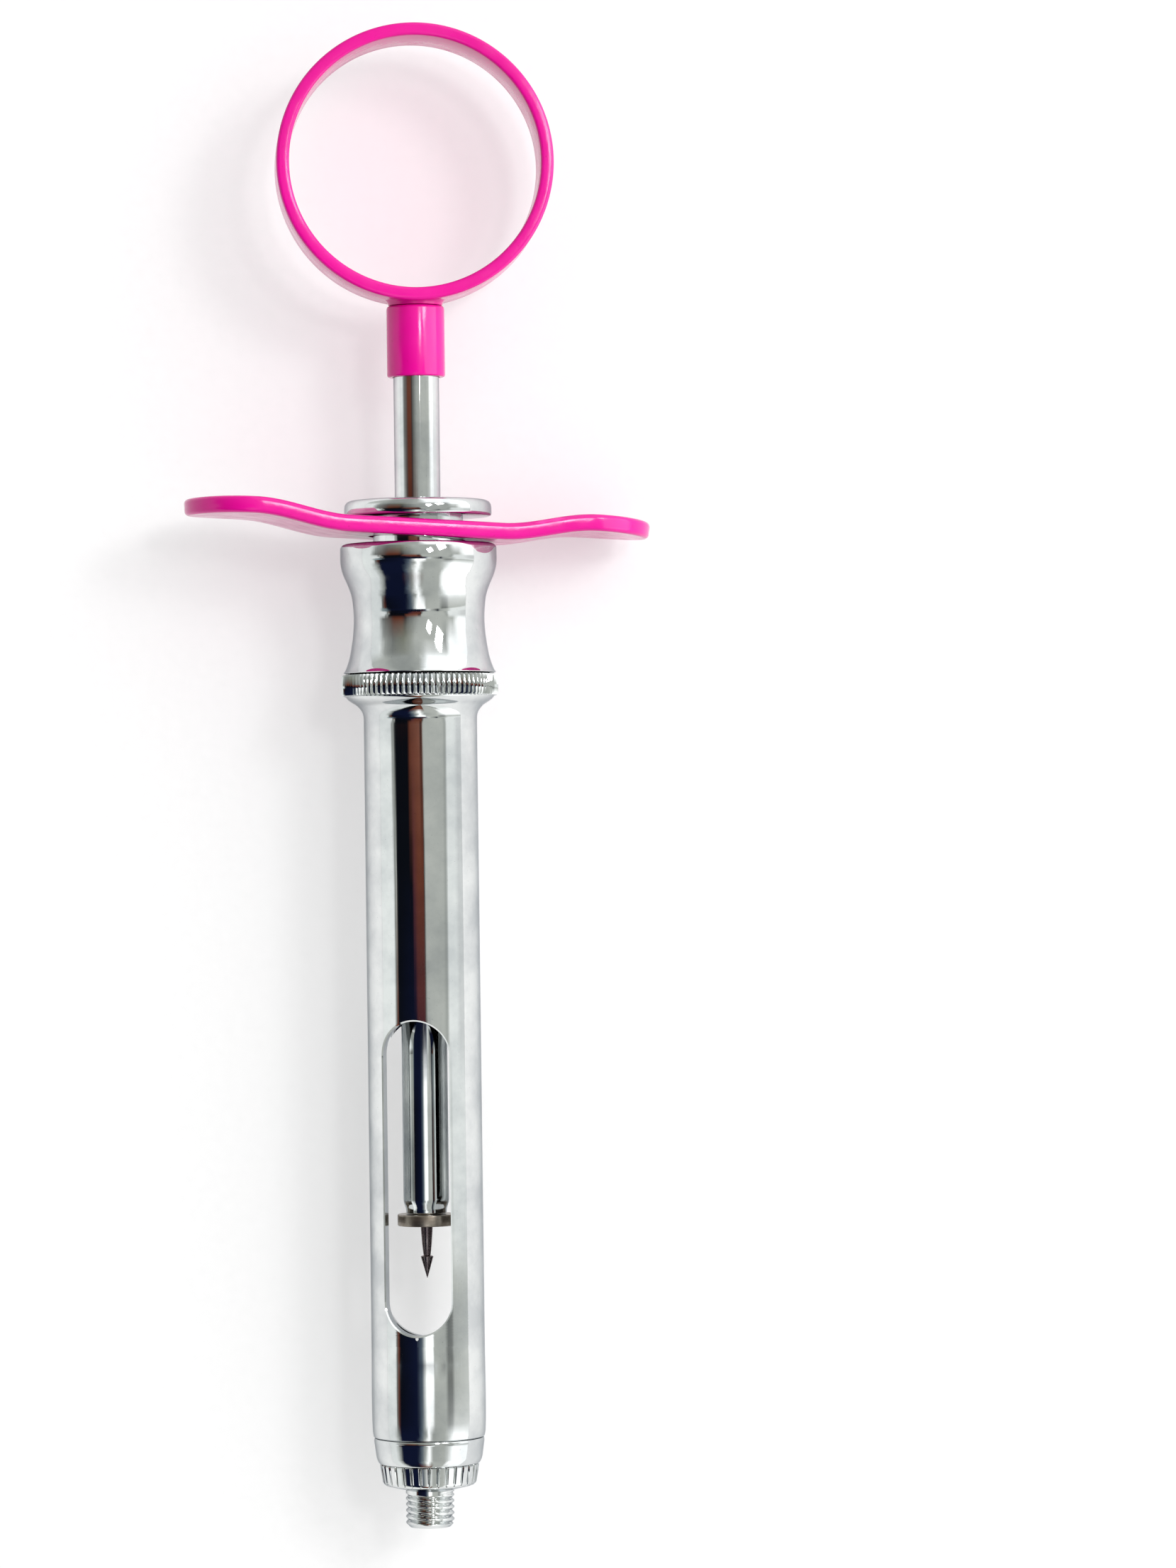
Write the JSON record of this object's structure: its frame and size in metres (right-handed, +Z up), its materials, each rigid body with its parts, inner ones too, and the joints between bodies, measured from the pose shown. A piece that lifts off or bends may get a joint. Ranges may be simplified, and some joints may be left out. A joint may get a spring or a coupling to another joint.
{
  "type": "dental syringe",
  "caption": "Aspirating dental cartridge syringe with windowed barrel, waisted grip, winged finger plate, harpoon plunger and thumb ring.",
  "frame": {"origin": "under the middle of the object, on the surface that it lies on", "axes": "+Y along the syringe's long axis, from the needle end to the thumb ring; +Z up, with the front window on top; +X to the right seen from above with the ring away"},
  "size_m": [0.0508, 0.1626, 0.0215],
  "materials": {
    "chrome": "polished chrome plate on brass",
    "pink_enamel": "glossy magenta-pink enamel",
    "steel": "fine turned, slightly dull",
    "brass": "turned",
    "silicone": "translucent matte silicone",
    "fluoropolymer": "machined white fluoropolymer"
  },
  "bodies": {
    "grip": {"bolster": "chrome", "cartridge_stop_tube": "brass", "cartridge_cushion": "silicone", "rod_o_ring": "silicone", "gland_washer": "steel", "rod_guide_bush": "fluoropolymer", "lock_cap": "chrome"},
    "finger_plate": {"finger_plate": "pink_enamel"},
    "plunger": {"plunger_rod": "chrome", "piston_disc": "steel", "harpoon": "steel", "ring_socket": "pink_enamel", "swivel_washer": "steel"},
    "ring": {"thumb_ring": "pink_enamel"},
    "barrel_seal": {"barrel_o_ring": "silicone"},
    "barrel": {"barrel": "chrome", "barrel_nose": "chrome", "nose_gasket": "silicone"},
    "adaptor_seal": {"adaptor_o_ring": "silicone"},
    "adaptor": {"needle_adaptor": "chrome"}
  },
  "joints": [
    {"name": "plunger_slide", "type": "slide", "parent": "grip", "child": "plunger", "axis": [0, -1, 0], "range_m": [-0.0498, 0.0132]},
    {"name": "ring_turn", "type": "hinge", "parent": "plunger", "child": "ring", "pos_m": [0, 0.05103, 0.01075], "axis": [0, 1, 0], "continuous": true},
    {"name": "plate_swivel", "type": "hinge", "parent": "grip", "child": "finger_plate", "pos_m": [0, 0.02668, 0.01075], "axis": [0, 1, 0], "continuous": true},
    {"name": "barrel_withdraw", "type": "slide", "parent": "grip", "child": "barrel_seal", "axis": [0, -1, 0], "range_m": [0, 0.007]},
    {"name": "barrel_unscrew", "type": "hinge", "parent": "barrel_seal", "child": "barrel", "pos_m": [0, 0.01107, 0.01075], "axis": [0, -1, 0], "range_deg": [0, 1265]},
    {"name": "adaptor_withdraw", "type": "slide", "parent": "barrel", "child": "adaptor_seal", "axis": [0, -1, 0], "range_m": [0, 0.003]},
    {"name": "adaptor_unscrew", "type": "hinge", "parent": "adaptor_seal", "child": "adaptor", "pos_m": [0, -0.07447, 0.01075], "axis": [0, -1, 0], "range_deg": [0, 1445]}
  ],
  "couplings": [
    {"joint": "barrel_unscrew", "follows": "barrel_withdraw", "rad_per_m": 3141.6},
    {"joint": "adaptor_unscrew", "follows": "adaptor_withdraw", "rad_per_m": 8377.6}
  ]
}
